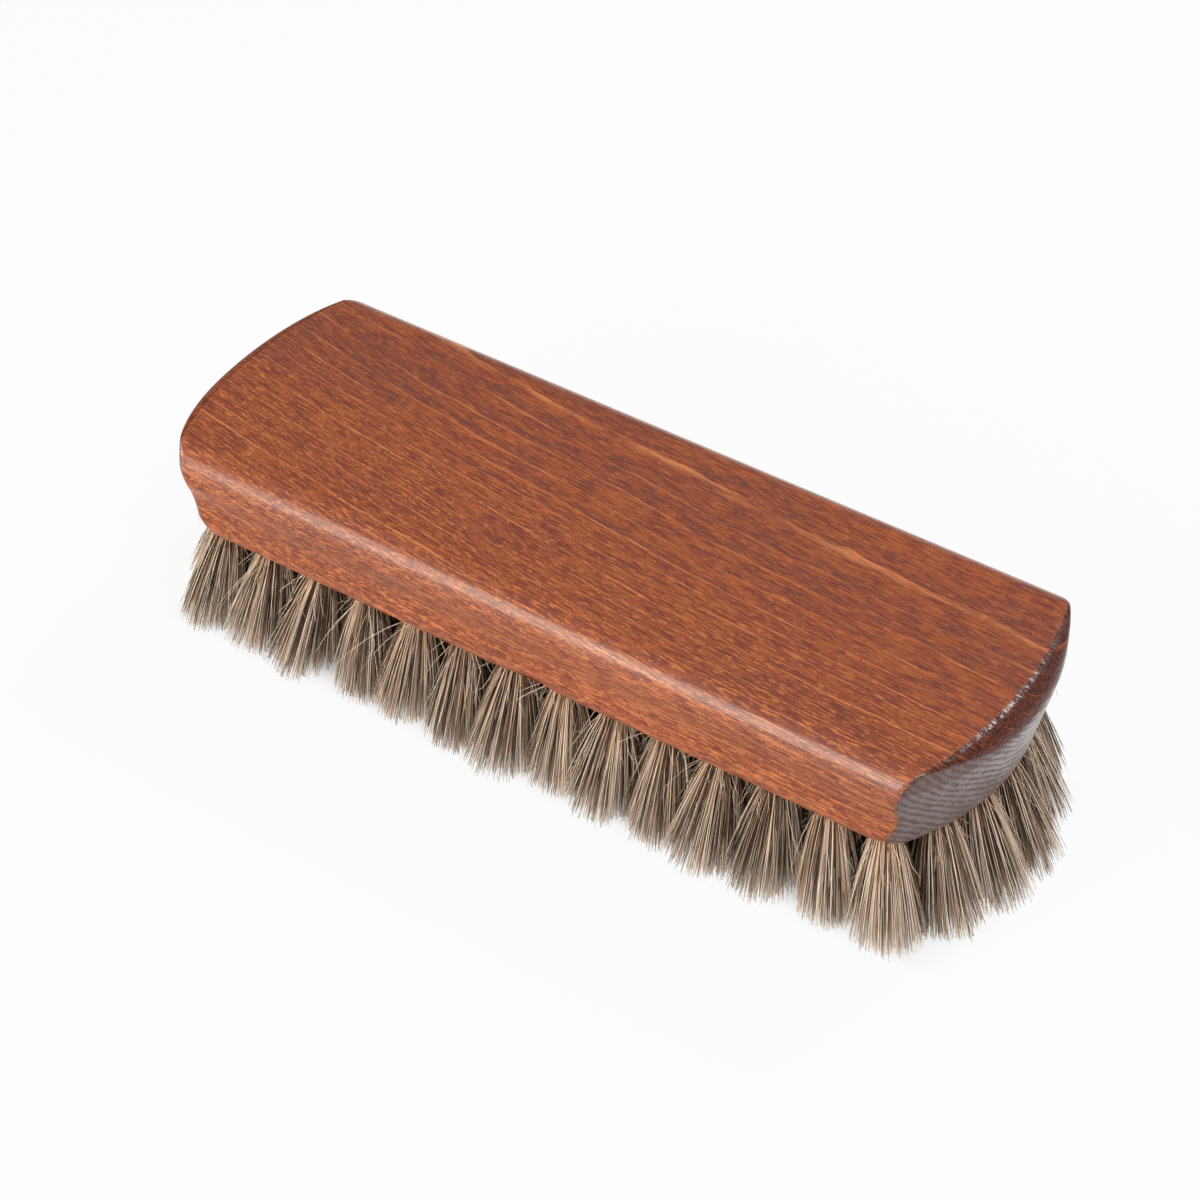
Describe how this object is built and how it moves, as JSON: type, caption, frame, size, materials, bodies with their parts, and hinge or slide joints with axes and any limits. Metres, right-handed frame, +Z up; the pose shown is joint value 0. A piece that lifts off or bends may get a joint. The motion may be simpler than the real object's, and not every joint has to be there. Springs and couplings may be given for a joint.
{
  "type": "shoe shine brush",
  "caption": "Shoe shine brush: a long moulded wooden block with curved ends and finger coves along both sides, filled with fanned tufts of horsehair for buffing polish.",
  "frame": {"origin": "centre of the whole object's footprint, on the plane of the trimmed hair tips that it stands on", "axes": "+X along the brush, +Y across it, +Z up from the hair tips to the top of the block"},
  "size_m": [0.1856, 0.0618, 0.0464],
  "materials": {
    "wood": "red-brown stained beech under satin lacquer",
    "hair": "natural grey-brown horsehair, light and dark hairs mixed",
    "wire": "drawn flat wire"
  },
  "bodies": {
    "root": {"block": "wood", "edge_tuft_01": "hair", "edge_tuft_02": "hair", "edge_tuft_03": "hair", "edge_tuft_04": "hair", "edge_tuft_05": "hair", "edge_tuft_06": "hair", "edge_tuft_07": "hair", "edge_tuft_08": "hair", "edge_tuft_09": "hair", "edge_tuft_10": "hair", "edge_tuft_11": "hair", "edge_tuft_12": "hair", "edge_tuft_13": "hair", "edge_tuft_14": "hair", "edge_tuft_15": "hair", "edge_tuft_16": "hair", "edge_tuft_17": "hair", "edge_tuft_18": "hair", "edge_tuft_19": "hair", "edge_tuft_20": "hair", "edge_tuft_21": "hair", "edge_tuft_22": "hair", "edge_tuft_23": "hair", "edge_tuft_24": "hair", "edge_tuft_25": "hair", "edge_tuft_26": "hair", "edge_tuft_27": "hair", "edge_tuft_28": "hair", "edge_tuft_29": "hair", "edge_tuft_30": "hair", "edge_tuft_31": "hair", "edge_tuft_32": "hair", "edge_tuft_33": "hair", "edge_tuft_34": "hair", "edge_tuft_35": "hair", "edge_tuft_36": "hair", "inner_tufts_row_2": "hair", "inner_tufts_row_3": "hair", "inner_tufts_row_4": "hair", "inner_tufts_row_5": "hair", "wire_anchors_row_1": "wire", "wire_anchors_row_2": "wire", "wire_anchors_row_3": "wire", "wire_anchors_row_4": "wire", "wire_anchors_row_5": "wire", "wire_anchors_row_6": "wire"}
  },
  "joints": []
}
